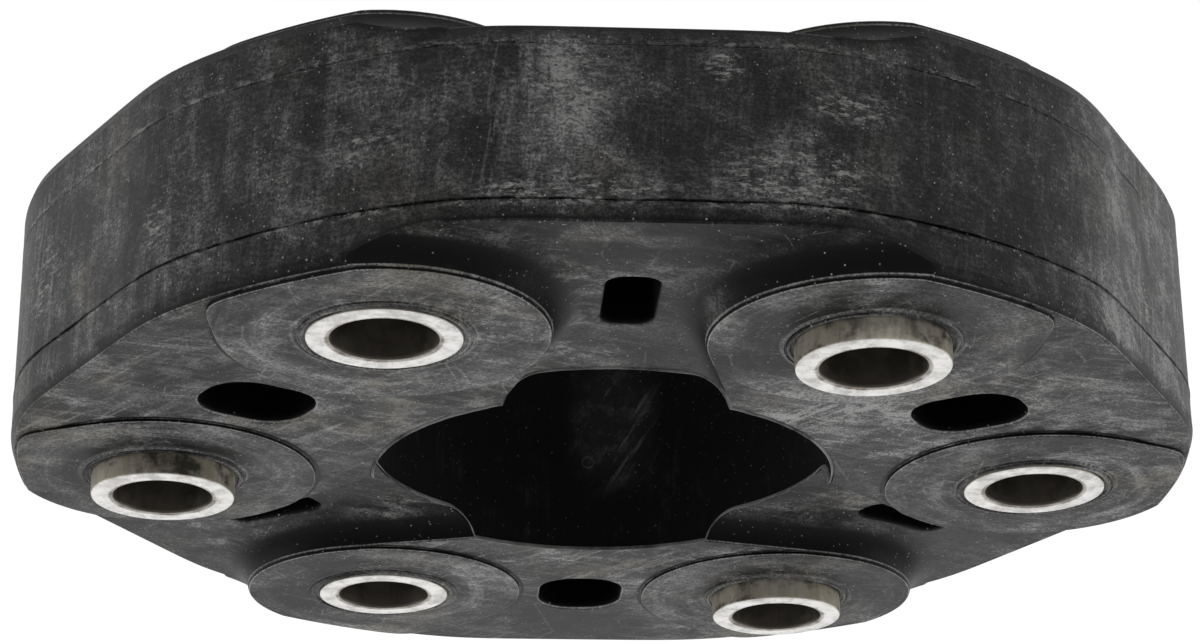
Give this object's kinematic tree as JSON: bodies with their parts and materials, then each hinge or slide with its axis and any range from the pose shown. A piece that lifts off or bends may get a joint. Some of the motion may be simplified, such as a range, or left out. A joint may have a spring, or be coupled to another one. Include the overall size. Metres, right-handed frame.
{
  "type": "flexible disc driveshaft coupling",
  "caption": "Round rubber disc coupling with thick links and thin webs between steel bolt sleeves, cord loops inside and a large hole through its middle.",
  "frame": {"origin": "on the shaft's axis, at the middle of the disc's thickness", "axes": "+Z along the shaft's axis, up from the face in the picture; +X through a sleeve that stands proud of that face"},
  "size_m": [0.1476, 0.1438, 0.0376],
  "materials": {
    "rubber": "matt, dusty, scuffed",
    "sleeve_steel": "turned, satin, lightly stained",
    "collar_steel": "plain",
    "cord": "wound cord, matt"
  },
  "bodies": {
    "root": {"rubber_body": "rubber", "sleeve_1": "sleeve_steel", "sleeve_2": "sleeve_steel", "sleeve_3": "sleeve_steel", "sleeve_4": "sleeve_steel", "sleeve_5": "sleeve_steel", "sleeve_6": "sleeve_steel", "collar_1_top": "collar_steel", "collar_1_bottom": "collar_steel", "collar_2_top": "collar_steel", "collar_2_bottom": "collar_steel", "collar_3_top": "collar_steel", "collar_3_bottom": "collar_steel", "collar_4_top": "collar_steel", "collar_4_bottom": "collar_steel", "collar_5_top": "collar_steel", "collar_5_bottom": "collar_steel", "collar_6_top": "collar_steel", "collar_6_bottom": "collar_steel", "link_cord_1_top": "cord", "link_cord_1_bottom": "cord", "link_cord_2_top": "cord", "link_cord_2_bottom": "cord", "link_cord_3_top": "cord", "link_cord_3_bottom": "cord", "web_cord_1": "cord", "web_cord_2": "cord", "web_cord_3": "cord"}
  },
  "joints": []
}
